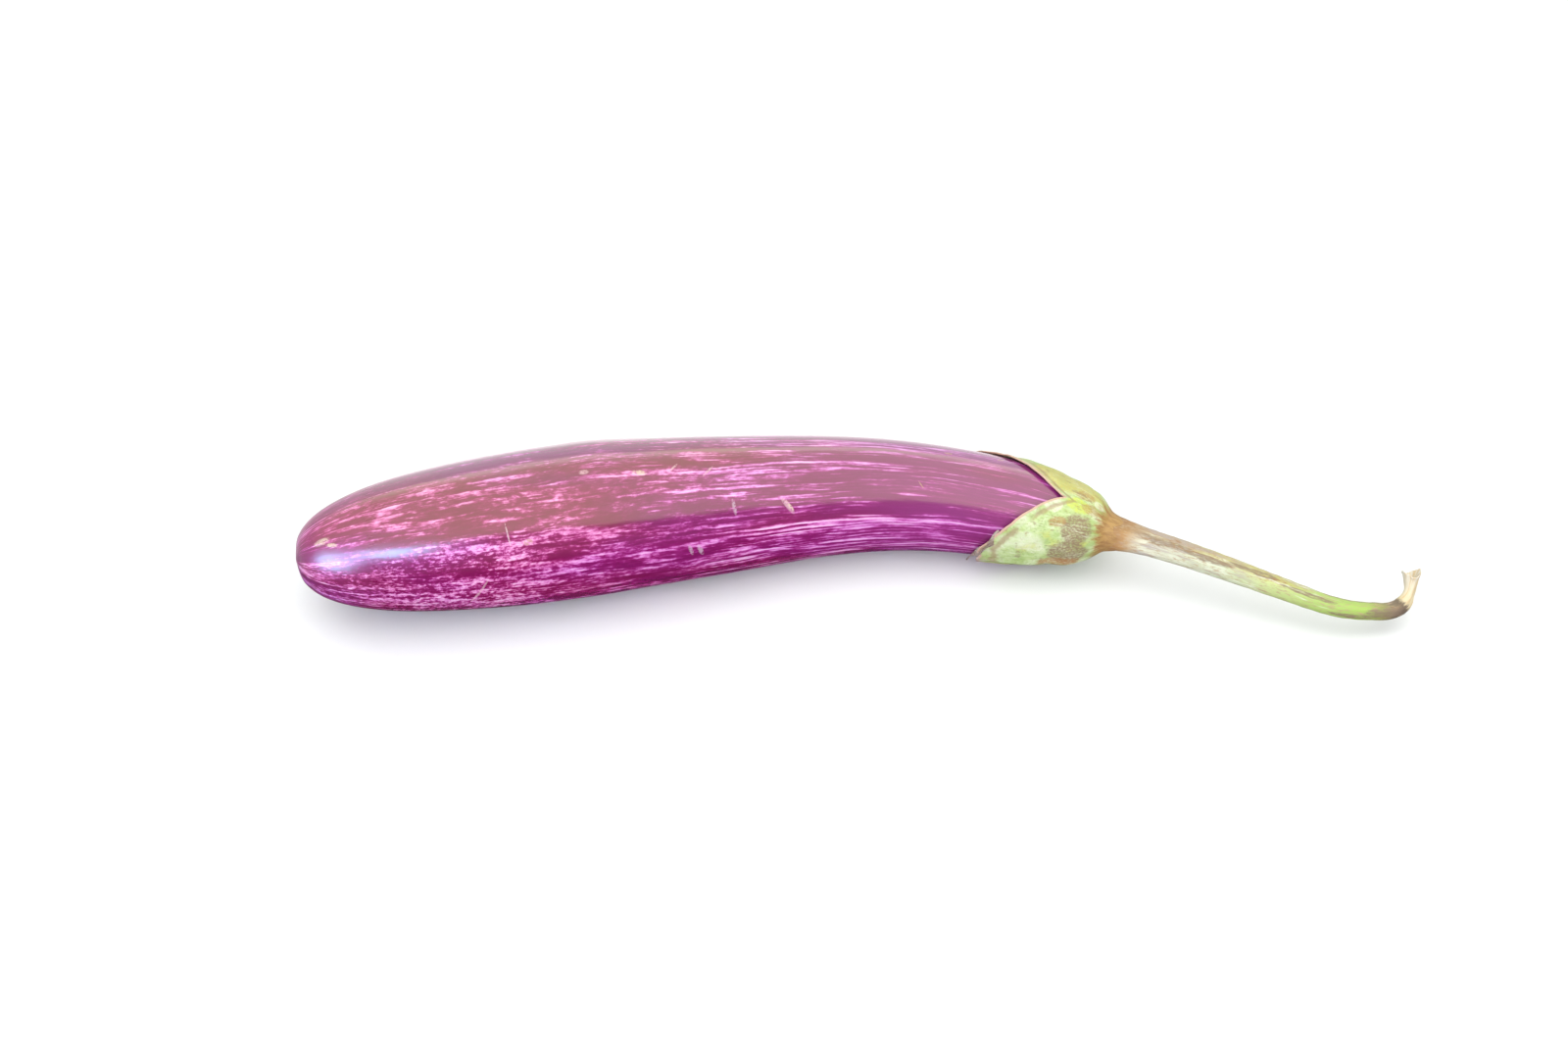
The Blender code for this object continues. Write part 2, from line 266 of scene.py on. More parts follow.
# %% The spine as a curve
def make_spine(points):
    curve = bpy.data.curves.new("spine", "CURVE")
    curve.dimensions = "3D"
    curve.twist_mode = "Z_UP"
    line = curve.splines.new("POLY")
    line.points.add(len(points) - 1)
    for knot, point in zip(line.points, points):
        knot.co = (*point, 1.0)
    spine = bpy.data.objects.new("spine", curve)
    bpy.context.scene.collection.objects.link(spine)
    return spine


spine = make_spine(spine_points)

# %% [markdown]
# ## Rings drawn out into a body
#
# A lathe-turned shape can be spun from a profile, but a plant's shapes change along their length, and
# rings are easier to reshape later. So each body starts as one circle that is extruded from station
# to station and resized at each, as one would do by hand. Its open ends are drawn together at the end.

# %% Ring tubes
def edit(body):
    """Into edit mode on this body alone, with all of it selected."""
    bpy.ops.object.select_all(action="DESELECT")
    body.select_set(True)
    bpy.context.view_layer.objects.active = body
    bpy.ops.object.mode_set(mode="EDIT")
    bpy.ops.mesh.select_all(action="SELECT")


def ring_tube(name, stations, sides):
    """A tube along +X through rings at these (place, radius) stations."""
    bpy.ops.object.select_all(action="DESELECT")
    place, radius = stations[0]
    bpy.ops.mesh.primitive_circle_add(
        vertices=sides, radius=radius, location=(place, 0, 0), rotation=(0, math.pi / 2, 0)
    )
    tube = bpy.context.object
    tube.name = tube.data.name = name
    bpy.ops.object.transform_apply()
    edit(tube)
    for (place, radius), (next_place, next_radius) in zip(stations, stations[1:]):
        bpy.ops.mesh.extrude_region_move(
            TRANSFORM_OT_translate={"value": (next_place - place, 0.0, 0.0)}
        )
        ratio = next_radius / radius
        bpy.ops.transform.resize(value=(1.0, ratio, ratio), center_override=(next_place, 0.0, 0.0))
    bpy.ops.object.mode_set(mode="OBJECT")
    return tube


def close_ends(body):
    """Draws each open end ring together to one point and turns all faces outwards."""
    edit(body)
    bpy.ops.mesh.select_all(action="DESELECT")
    bpy.ops.mesh.select_non_manifold()
    bpy.ops.mesh.merge(type="COLLAPSE")
    bpy.ops.mesh.select_all(action="SELECT")
    bpy.ops.mesh.normals_make_consistent(inside=False)
    bpy.ops.object.mode_set(mode="OBJECT")


# %% Modifiers and points
def modify(body, kind, **settings):
    """Adds a modifier with these settings and applies it at once."""
    bpy.ops.object.select_all(action="DESELECT")
    body.select_set(True)
    bpy.context.view_layer.objects.active = body
    modifier = body.modifiers.new(kind.lower(), kind)
    for name, value in settings.items():
        setattr(modifier, name, value)
    bpy.ops.object.modifier_apply(modifier=modifier.name)


def points_of(body):
    """The points of a body, one row each."""
    flat = np.empty(len(body.data.vertices) * 3, np.float32)
    body.data.vertices.foreach_get("co", flat)
    return flat.reshape(-1, 3).astype(float)


def move_points(body, points):
    body.data.vertices.foreach_set("co", np.asarray(points, np.float32).ravel())
    body.data.update()


def round_the_spine(points):
    """Place along the spine, distance from it and angle round it. The angle is 0 at -Y and 90 degrees up."""
    x, y, z = points.T
    return x, np.hypot(y, z), np.arctan2(z, -y)


def from_the_spine(place, radius, angle):
    return np.column_stack((place, -radius * np.cos(angle), radius * np.sin(angle)))


def ripple(points, size, seed):
    """Soft noise between about -1 and 1 at each point, with bumps of this size."""
    shift = Vector((seed * 7.3, seed * 3.1, seed * 5.7))
    return np.array([noise.noise(Vector(point) / size + shift) for point in points])


def keep(body, name, values):
    """Stores a value or a vector at each point, for the materials to read."""
    values = np.asarray(values, np.float32)
    kind, field = ("FLOAT_VECTOR", "vector") if values.ndim == 2 else ("FLOAT", "value")
    layer = body.data.attributes.get(name) or body.data.attributes.new(name, kind, "POINT")
    layer.data.foreach_set(field, values.ravel())


def keep_grain(body, places, angles, radius):
    """The surface unrolled onto one even cylinder, so that a pattern narrows where the body does."""
    keep(body, "grain", from_the_spine(places, np.full(len(places), radius), angles))


# %% [markdown]
# ## The fruit
#
# The fruit is nearly round in section, but it grew, it wasn't turned: it has shallow swellings, faint
# flats along its length and a small scar where the flower was. The rings give the outline, a
# subdivision smooths it, and then the points are pushed by soft noise while the fruit is straight.

# %% Fruit
FRUIT_SIDES = 48
SWELLING = 0.00028
FLATS = 0.00016

fruit = ring_tube("fruit_skin", fruit_outline[1:-1], FRUIT_SIDES)
close_ends(fruit)
modify(fruit, "SUBSURF", levels=2, render_levels=2)

points = points_of(fruit)
place, radius, angle = round_the_spine(points)
swelling = SWELLING * ripple(points * (0.6, 1.0, 1.0), 0.018, 1)
flats = FLATS * ripple(points * (0.12, 1.0, 1.0), 0.007, 2)
# Both fade out under the calyx, so that the cap still hugs the fruit.
fade = 1 - eased((place - 0.165) / 0.03)
radius = radius * (1 + fade * (swelling + flats) / BELLY_RADIUS)
keep_grain(fruit, place, angle, BELLY_RADIUS)
move_points(fruit, from_the_spine(place, radius, angle))
print("fruit:", len(fruit.data.vertices), "points")

# %% [markdown]
# ## The calyx
#
# The calyx is one leafy cap, split into pointed lobes that dry and curl at their tips. It could be cut
# from a shell, but its lobes taper, thin out and lift, so it starts as an even tube of rings and each
# point is then laid on the fruit: its ring says how far down its lobe it lies, and its angle says
# which lobe. A Solidify modifier gives the sheet its thickness.

# %% Lobes of the calyx
# Each lobe: the angle of its tip in degrees, how far it reaches below the top of the fruit, and how
# far its tip stands off the fruit. The notch after each lobe: its angle and its depth.
LOBES = ((-24, 0.034, 0.0008), (165, 0.036, 0.0), (207, 0.031, 0.0004), (258, 0.030, 0.0))
NOTCHES = ((80, 0.0065), (187, 0.0150), (228, 0.0120), (292, 0.0110))
LOBE_FULLNESS = 0.85


def lobe_at(angle):
    """The lobe at an angle: its number, the offset from its tip, its reach, and 0 to 1 towards its tip."""
    for number, (tip_angle, tip_reach, _) in enumerate(LOBES):
        offset = (angle - tip_angle + 180) % 360 - 180
        notch_angle, notch_depth = NOTCHES[number] if offset >= 0 else NOTCHES[number - 1]
        spread = abs((notch_angle - tip_angle + 180) % 360 - 180)
        if abs(offset) <= spread:
            share = (1 - abs(offset) / spread) ** LOBE_FULLNESS
            return number, offset, notch_depth + share * (tip_reach - notch_depth), share
    raise ValueError(f"no lobe covers {angle:.0f} degrees")


# %% The calyx's run from the crown down over the fruit
CALYX_RADIUS = 0.0150
COVER = GAP + 0.0005  # how far the outside of the calyx's margin stands off the fruit

# The top of the calyx starts inside the stem and comes out of it at a glancing angle.
rim_part = [
    (place, float(radius_on(foot, place)) + proud)
    for place, proud in ((0.2300, -0.0005), (0.2288, -0.0001), (0.2275, 0.0001), (0.2264, 0.0002))
]
cap_side = (0.2120, float(radius_on(fruit_outline, 0.2120)) + COVER + 0.0006)
cap = sweep(
    (0.2256, 0.00545), (0.2238, 0.0062), (0.2212, cap_side[1] - 0.0006), cap_side, 14
)
lobe_run = [
    (place, float(radius_on(fruit_outline, place)) + COVER + 0.0006 * (place - 0.176) / 0.036)
    for place in np.arange(0.2110, 0.176, -0.001)
]
calyx_run = np.array(rim_part + cap + lobe_run)
run_lengths = np.append(0.0, np.hypot(*np.diff(calyx_run, axis=0).T).cumsum())
print(f"the calyx's run is {run_lengths[-1] * 1000:.0f} mm long")


# %% Calyx sheet
CALYX_SIDES = 144
CALYX_ROWS = 40
ROW_STEP = 0.001
SHEET_THICKNESS = 0.0005
KEEL_HEIGHT = 0.0006
KEEL_WIDTH = 0.0014
VALLEY_DEPTH = 0.0007
ROLL_WIDTH = 0.0012
ROLL_HEIGHT = 0.00035
FOLD_DISTANCE = 0.0028
FOLD_WIDTH = 0.0009
FOLD_DEPTH = 0.0003
MARGIN_WAVE = 0.0004
FRONT_LOBE, BLUNT_REACH, TORN_DEPTH = 0, 0.0290, 0.0011
BACK_LOBE, BACK_PRESS, BACK_ROLL = 1, 0.0004, 0.5

calyx = ring_tube(
    "calyx_leaf", [(-row * ROW_STEP, 0.01) for row in range(CALYX_ROWS + 1)], CALYX_SIDES
)
rows, _, angles = round_the_spine(points_of(calyx))
shares = -rows / (ROW_STEP * CALYX_ROWS)

laid, margins, dryness = [], [], []
for share, angle in zip(shares, angles):
    number, offset, reach, towards_tip = lobe_at(math.degrees(angle))
    tip_lift = LOBES[number][2]
    # The margin isn't a ruled line: it waves a little.
    reach += MARGIN_WAVE * noise.noise(Vector((math.cos(angle) * 9, math.sin(angle) * 9, 4.0)))
    if number == FRONT_LOBE:
        # Its tip has torn off unevenly.
        tear = noise.noise(Vector((math.degrees(angle) * 0.12, 7.0, 1.0)))
        reach = min(reach, BLUNT_REACH + TORN_DEPTH * tear)
    whole = float(np.interp(FRUIT_LENGTH - reach, calyx_run[::-1, 0], run_lengths[::-1]))
    along = share * whole
    place = float(np.interp(along, run_lengths, calyx_run[:, 0]))
    radius = float(np.interp(along, run_lengths, calyx_run[:, 1]))
    sideways = math.radians(offset) * radius
    margin = (whole - along) * (0.55 + 0.45 * (1 - towards_tip))
    down = float(eased((0.2235 - place) / 0.006))
    keel = math.exp(-((sideways / KEEL_WIDTH) ** 2)) * down
    # The back lobe lies closer to the fruit than the others, and its margin rolls less.
    press = BACK_PRESS * down if number == BACK_LOBE else 0.0
    radius += KEEL_HEIGHT * keel * (1 - share * 0.6) - press
    radius -= VALLEY_DEPTH * down * (1 - towards_tip) ** 3 * (1 - share)
    roll = ROLL_HEIGHT * (BACK_ROLL if number == BACK_LOBE else 1.0)
    radius += roll * max(0.0, 1 - margin / ROLL_WIDTH) ** 2
    fold = math.exp(-(((margin - FOLD_DISTANCE) / FOLD_WIDTH) ** 2)) * down
    radius += (ROLL_HEIGHT * math.exp(-((margin / FOLD_DISTANCE) ** 4)) * 0.5 - FOLD_DEPTH * fold) * down
    radius += tip_lift * (towards_tip * share) ** 3
    laid.append((place, radius, angle))
    margins.append(margin)
    dryness.append(towards_tip * share)

place, radius, angle = np.array(laid).T
keep(calyx, "margin", margins)
keep(calyx, "dryness", dryness)
keep_grain(calyx, place, angle, CALYX_RADIUS)
move_points(calyx, from_the_spine(place, radius, angle))
edit(calyx)
bpy.ops.mesh.normals_make_consistent(inside=False)
bpy.ops.object.mode_set(mode="OBJECT")
modify(calyx, "SOLIDIFY", thickness=SHEET_THICKNESS, offset=-1.0, use_even_offset=True)
modify(calyx, "SUBSURF", levels=1, render_levels=1)
points = points_of(calyx)
place, radius, angle = round_the_spine(points)
wrinkle = 0.00010 * ripple(points, 0.0022, 3) + 0.00026 * ripple(points, 0.0060, 4)
wrinkle += 0.00012 * ripple(points * (0.25, 1.0, 1.0), 0.0016, 12)
radius = radius + wrinkle * eased((0.2250 - place) / 0.004)
move_points(calyx, from_the_spine(place, radius, angle))
print("calyx:", len(calyx.data.vertices), "points")

# %% [markdown]
# ### Dried tips
#
# The lobes' tips have dried into thin, twisted ribbons. A ribbon is a ring tube pressed flat, and each
# ring is turned a little further than the last, which gives the twist. The ribbons start inside the
# green lobes, so they seem to grow out of them.

# %% Dried tips
TIP_RINGS = 16
TIP_SIDES = 10
# Each: the place and angle where it starts, its length, its width, its whole twist and its bend
# round the fruit, in degrees.
DRIED_TIPS = (
    (0.1975, 12, 0.0100, 0.0062, 210, -50), (0.1885, 165, 0.0085, 0.0016, 150, 8),
    (0.1935, 207, 0.0095, 0.0016, -220, 14), (0.1945, 258, 0.0085, 0.0016, 60, -5),
)

tips = []
for number, (start, degrees, length, width, twist, bend) in enumerate(DRIED_TIPS):
    step = length / TIP_RINGS
    tip = ring_tube("dried_tip", [(ring * step, 0.001) for ring in range(TIP_RINGS + 1)], TIP_SIDES)
    along, _, turn = round_the_spine(points_of(tip))
    share = along / length
    half_width = width / 2 * (1 - eased(share) * 0.72) * (1 + 0.2 * np.sin(share * 9 + number))
    half_thickness = 0.00028 * (1 - 0.4 * share)
    across, outwards = half_width * np.cos(turn), half_thickness * np.sin(turn)
    # Pressed into a shallow gutter, then turned about its own middle.
    outwards = outwards + 0.00025 * np.cos(np.pi * across / half_width)
    turn = np.radians(twist) * eased(share * 1.1 - 0.1)
    across, outwards = (
        across * np.cos(turn) - outwards * np.sin(turn),
        across * np.sin(turn) + outwards * np.cos(turn),
    )
    place = start - along
    clear = half_width * np.abs(np.sin(turn)) * 0.85
    radius = radius_on(fruit_outline, place) + GAP + 0.0006 + clear + outwards
    radius = radius + 0.0005 * np.sin(share * 7 + 2 * number) * share
    angle = np.radians(degrees + bend * share**2) + across / radius
    keep(tip, "margin", np.full(len(place), 0.002))
    keep(tip, "dryness", 1.0 + share)
    keep_grain(tip, place, angle, CALYX_RADIUS)
    move_points(tip, from_the_spine(place, radius, angle))
    close_ends(tip)
    modify(tip, "SUBSURF", levels=1, render_levels=1)
    tips.append(tip)

bpy.ops.object.select_all(action="DESELECT")
for tip in tips:
    tip.select_set(True)
calyx.select_set(True)
bpy.context.view_layer.objects.active = calyx
bpy.ops.object.join()
print("calyx with its dried tips:", len(calyx.data.vertices), "points")

# %% [markdown]
# ## The stem
#
# The stem grows out of the crown with a flared foot, runs slim and slightly ridged, and hooks up at
# the end, where it dried and flared out as it parted from the plant. It is made of rings too. The
# mouth is hollow, and its torn rim is uneven.

# %% Stem
STEM_SIDES = 32
RIDGES = 5
RIDGE_HEIGHT = 0.00018

stem = ring_tube("stem_stalk", stem_outline, STEM_SIDES)
close_ends(stem)
modify(stem, "SUBSURF", levels=1, render_levels=1)
points = points_of(stem)
place, radius, angle = round_the_spine(points)
foot_share = 1 - eased((place - STEM_START) / 0.03)
ridge = RIDGE_HEIGHT * np.cos(RIDGES * angle + 0.8) * (0.35 + 0.65 * foot_share)
dry = eased((place - DRY_PLACE + 0.004) / 0.006)
crumple = 0.00010 * ripple(points, 0.0018, 5) + 0.00012 * dry * ripple(points, 0.0012, 6)
solid = eased(radius / 0.001)
radius = radius + solid * (ridge * eased((place - 0.2245) / 0.001) + crumple)
torn = eased((place - (SPINE_END - 0.0022)) / 0.0020)
place = place + torn * (0.0007 * np.cos(2 * angle + 0.6) + 0.0004 * ripple(points, 0.0011, 7) - 0.0004)
keep_grain(stem, place, angle, SHAFT_RADIUS)
move_points(stem, from_the_spine(place, radius, angle))
print("stem:", len(stem.data.vertices), "points")

# %% [markdown]
# ## Bending and placing
#
# The Curve modifier bends each straight piece along the spine. The bent fruit is then compared with
# its solid, and all pieces shift by the same amount, so that they lie exactly where the solids do.

# %% Bend all pieces
for piece in (fruit, calyx, stem):
    modify(piece, "CURVE", object=spine, deform_axis="POS_X")

fruit_low, fruit_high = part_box("fruit")
bent_points = points_of(fruit)
shift = (np.array(fruit_low) + np.array(fruit_high) - bent_points.min(0) - bent_points.max(0)) / 2
shift[2] = 0.0
for piece in (fruit, calyx, stem):
    # What would sink into the table is pressed flat by it.
    move_points(piece, np.maximum(points_of(piece) + shift, (-1.0, -1.0, 0.00002)))
    bpy.ops.object.select_all(action="DESELECT")
    piece.select_set(True)
    bpy.context.view_layer.objects.active = piece
    bpy.ops.object.shade_smooth()
bpy.data.objects.remove(spine)

for piece, node in ((fruit, "fruit"), (calyx, "calyx"), (stem, "stem")):
    low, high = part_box(node)
    shape = points_of(piece)
    print(
        f"{piece.name}: low corner off by {np.round((shape.min(0) - low) * 1000, 2)} mm,",
        f"high corner by {np.round((shape.max(0) - high) * 1000, 2)} mm",
    )

# %% [markdown]
# ## Wiring finishes
#
# A finish is a tree of nodes. Adding each one by hand takes many lines and hides the idea, so a small
# class wraps a socket: sums and products of masks are written as plain arithmetic, and one method
# adds any other node.

# %% Wires
class Wire:
    """One socket of a finish. Arithmetic on wires adds the Math nodes for it."""

    def __init__(self, socket):
        self.socket = socket

    def node(self, kind, settings, sockets, output=0):
        """Adds a node, sets it up, gives its sockets values or wires, and returns one output."""
        made = self.socket.id_data.nodes.new(kind)
        for name, value in settings.items():
            if name == "stops":
                ramp = made.color_ramp
                while len(ramp.elements) < len(value):
                    ramp.elements.new(1.0)
                for stop, (position, colour) in zip(ramp.elements, value):
                    stop.position, stop.color = position, colour
            else:
                setattr(made, name, value)
        for name, value in sockets.items():
            self.join(made.inputs[name], value)
        return Wire(made.outputs[output])

    def join(self, socket, value):
        if isinstance(value, Wire):
            self.socket.id_data.links.new(value.socket, socket)
        else:
            socket.default_value = value

    def math(self, operation, *values):
        return self.node("ShaderNodeMath", {"operation": operation}, dict(enumerate(values)))

    def __add__(self, other):
        return self.math("ADD", self, other)

    def __sub__(self, other):
        return self.math("SUBTRACT", self, other)

    def __rsub__(self, other):
        return self.math("SUBTRACT", other, self)

    def __mul__(self, other):
        return self.math("MULTIPLY", self, other)

    __radd__, __rmul__ = __add__, __mul__

    def between(self, low, high):
        """0 at low, 1 at high, and soft in between. Low may be the larger of the two."""
        settings = {"interpolation_type": "SMOOTHSTEP"}
        return self.node("ShaderNodeMapRange", settings, {0: self, 1: low, 2: high})

    def noise(self, per_metre, detail=2.0, roughness=0.5, shift=0.0, output=0):
        """Noise on this position, with so many bumps per metre along x, y and z."""
        sockets = {0: self, 1: per_metre, 2: (shift,) * 3}
        stretched = self.node("ShaderNodeVectorMath", {"operation": "MULTIPLY_ADD"}, sockets)
        sockets = {"Vector": stretched, "Scale": 1.0, "Detail": detail, "Roughness": roughness}
        return self.node("ShaderNodeTexNoise", {"noise_dimensions": "3D"}, sockets, output)

    def wander(self, per_metre, reach, shift=0.0):
        """This position pushed about by soft noise, so that a pattern on it doesn't run ruled."""
        sockets = {0: self.noise(per_metre, 1.0, 0.5, shift, 1), 1: reach, 2: self}
        return self.node("ShaderNodeVectorMath", {"operation": "MULTIPLY_ADD"}, sockets)

    def along(self, direction):
        """How far this position lies in a direction."""
        sockets = {0: self, 1: direction}
        return self.node("ShaderNodeVectorMath", {"operation": "DOT_PRODUCT"}, sockets, 1)

    def under(self, tint, share):
        """This colour with a tint laid over it, by a share from 0 to 1."""
        return self.node("ShaderNodeMix", {"data_type": "RGBA"}, {0: share, 6: self, 7: tint}, 2)

    def ramp(self, stops):
        return self.node("ShaderNodeValToRGB", {"stops": stops}, {0: self})


# The lamps lift each colour by about this much, so the paints are mixed that much darker.
LIGHT_GAIN = 1.75


def paint(red, green, blue):
    """A colour as it should look in the light, 0 to 255, as the linear values that shaders use."""
    shares = (value / 255 for value in (red, green, blue))
    linear = (share / 12.92 if share < 0.04 else ((share + 0.055) / 1.055) ** 2.4 for share in shares)
    return (*(value / LIGHT_GAIN for value in linear), 1.0)


def begin_finish(name, attribute):
    """A new finish: itself, its Principled shader, and the named attribute as its first wire."""
    finish = bpy.data.materials.new(name)
    finish.use_nodes = True
    shader = finish.node_tree.nodes["Principled BSDF"]
    start = Wire(shader.outputs[0])
    return finish, shader, start.node("ShaderNodeAttribute", {"attribute_name": attribute}, {}, "Vector")


def mark(grain, radius, place, degrees, long, wide, tilt=0.0):
    """A soft oval mask at a place and an angle. A tilt of 0 lays it along the spine."""
    angle, tilt = math.radians(degrees), math.radians(tilt)
    centre = Vector((place, -radius * math.cos(angle), radius * math.sin(angle)))
    round_way = Vector((0.0, math.sin(angle), math.cos(angle)))
    lengthwise = Vector((math.cos(tilt), 0, 0)) + round_way * math.sin(tilt)
    crosswise = Vector((-math.sin(tilt), 0, 0)) + round_way * math.cos(tilt)
    outwards = Vector((0.0, -math.cos(angle), math.sin(angle)))
    distance = 0.0
    for way, half in ((lengthwise, long / 2), (crosswise, wide / 2)):
        share = grain.along(way / half) - way.dot(centre) / half
        distance = share * share + distance
    facing = grain.along(outwards).between(radius * 0.1, radius * 0.3)
    return distance.between(1.7, 0.2) * facing


# %% [markdown]
# ## The fruit's skin
#
# The skin is a deep purple under clear wax. Its pale streaks are fine fibres that run lengthwise and
# crowd into bands, and near the blossom end they break up into specks. The pattern could be painted
# on Object coordinates, but then it would cut straight across the bends. So it is laid on the
# unrolled skin kept earlier, stretched along the fruit.

# %% Skin
def skin_finish():
    finish, shader, grain = begin_finish("striped_skin", "grain")
    place = grain.along((1.0, 0.0, 0.0))
    height = grain.along((0.0, 0.0, 1 / BELLY_RADIUS))

    # Fine fibres, the bands and clumps that they crowd into, and a grain that breaks them up.
    skin = grain.wander((45, 130, 130), (0.008, 0.0022, 0.0022), 7.0)
    fibres = skin.noise((85, 1300, 1300), 4.0, 0.62, 3.0)
    long_fibres = skin.noise((24, 700, 700), 2.0, 0.5, 17.0)
    bands = skin.noise((13, 250, 250), 2.0, 0.5, 9.0)
    clumps = skin.noise((75, 300, 300), 4.0, 0.68, 21.0)
    breaks = skin.noise((500, 1100, 1100), 3.0, 0.6, 5.0)
    calm = place.between(0.09, 0.17)
    streak = fibres * 0.8 + long_fibres * 0.35 + bands * 0.65 + 0.75
    streak = streak + (clumps - 0.5) * (0.9 - calm * 0.3) + (breaks - 0.5) * (0.6 - calm * 0.35)
    # Specks replace the fibres near the blossom end, and the upper side has fewer of them.
    specks = grain.noise((800, 1300, 1300), 3.0, 0.65, 31.0)
    streak = streak + (specks - 0.5) * place.between(0.085, 0.045) * height.between(0.9, 0.5)
    # Towards the neck they draw out into long, thin lines.
    lines = skin.noise((16, 1150, 1150), 3.0, 0.55, 25.0)
    streak = streak + (lines - 0.5) * place.between(0.07, 0.14) * 1.35
    streak = streak - height.between(0.62, 0.80) * 0.07 + 0.03
    streak = streak + place.between(0.13, 0.17) * (height.between(0.60, 0.25) * 0.13 - 0.08)
    tone = streak.between(1.43, 2.11)

    violet = tone.ramp((
        (0.0, paint(132, 14, 98)), (0.25, paint(150, 24, 116)), (0.40, paint(180, 56, 150)),
        (0.55, paint(216, 104, 200)), (0.72, paint(244, 150, 236)), (1.0, paint(255, 200, 252)),
    ))
    wine = tone.ramp((
        (0.0, paint(132, 12, 80)), (0.25, paint(152, 22, 98)), (0.40, paint(184, 56, 134)),
        (0.55, paint(224, 108, 182)), (0.72, paint(250, 156, 220)), (1.0, paint(255, 204, 244)),
    ))
    drift = grain.noise((22, 70, 70), 2.0, 0.5, 41.0)
    red_share = (drift + place.between(0.16, 0.02) * 0.18 - 0.06).between(0.42, 0.70)
    colour = violet.under(wine, red_share)
    colour = colour.under(paint(186, 96, 180), place.between(0.13, 0.19) * 0.22)

    # The scar that the flower left, scuffs, scratches and a few brown spots:
    # the place, the angle, the length, the width and the tilt of each.
    cream, rose, tan = paint(246, 226, 196), paint(240, 190, 206), paint(196, 150, 112)
    grey = paint(214, 180, 206)
    scars = (
        (cream, 0.0079, 67, 0.0040, 0.0030, 20), (cream, 0.0105, 60, 0.0030, 0.0016, -30),
        (cream, 0.0931, 80, 0.0036, 0.0016, -10), (rose, 0.0794, 85, 0.0022, 0.0014, 0),
        (rose, 0.1327, 43, 0.0062, 0.0014, -60), (cream, 0.1336, 41, 0.0026, 0.0008, -60),
        (rose, 0.0570, 45, 0.0064, 0.0004, -84), (rose, 0.0477, -1, 0.0094, 0.0007, 60),
        (rose, 0.1118, 78, 0.0040, 0.0007, 45), (rose, 0.1026, 83, 0.0032, 0.0006, 45),
        (grey, 0.1177, 46, 0.0046, 0.0010, -84), (grey, 0.1052, 14, 0.0034, 0.0010, -74),
        (grey, 0.1078, 13, 0.0038, 0.0012, -70), (tan, 0.0621, 38, 0.0026, 0.0016, 10),
        (tan, 0.1720, 61, 0.0030, 0.0004, -60), (tan, 0.1790, 108, 0.0022, 0.0012, 0),
        (tan, 0.1930, 116, 0.0024, 0.0012, 40), (tan, 0.0650, 140, 0.0030, 0.0012, 30),
        (rose, 0.1400, 170, 0.0060, 0.0006, 35), (cream, 0.0900, 200, 0.0040, 0.0018, -15),
        (rose, 0.0560, 250, 0.0070, 0.0007, 50), (tan, 0.1250, -50, 0.0030, 0.0014, 20),
    )
    crumbs = grain.noise((1500, 1500, 1500), 2.0, 0.6, 2.0)
    scarred = 0.0
    for tint, *where in scars:
        mask = mark(grain, BELLY_RADIUS, *where) * crumbs.between(0.30, 0.55)
        colour = colour.under(tint, mask * 0.65)
        scarred = mask + scarred

    # Fine waves across the fruit break up the edges of what the wax mirrors.
    waves = grain.noise((1100, 150, 150), 2.0, 0.5, 13.0)
    swells = grain.noise((60, 240, 240), 2.0, 0.5, 14.0)
    pits = grain.noise((2600, 2600, 2600), 2.0, 0.5, 8.0)
    height = waves * 0.55 + swells * 1.5 + tone * 0.30 + pits * 0.10 + scarred * 0.5
    bump = height.node("ShaderNodeBump", {}, {"Height": height, "Distance": 0.00008, "Strength": 0.8})
    # The wax is duller at the blossom end, so the glint there spreads.
    bloom = place.between(0.040, 0.004) * 0.16
    shader.inputs["Coat Roughness"].default_value = 0.10
    grain.join(shader.inputs["Coat Weight"], 0.35 - bloom * 1.9)
    grain.join(shader.inputs["Base Color"], colour)
    grain.join(shader.inputs["Roughness"], 0.18 + tone * 0.10 + scarred * 0.4 + bloom)
    grain.join(shader.inputs["Normal"], bump)
    return finish


fruit.data.materials.append(skin_finish())

# %% [markdown]
# ## The calyx's leafy finish
#
# The calyx is a dull, dry leaf. It ranges from pale cream green to a fresh yellow green, and where it
# rubbed or dried it turned grey brown and rusty. Soft noise gives the range, marks put the main
# patches where they are, and the margin kept earlier gives the thin pinkish rim and the brown fold.

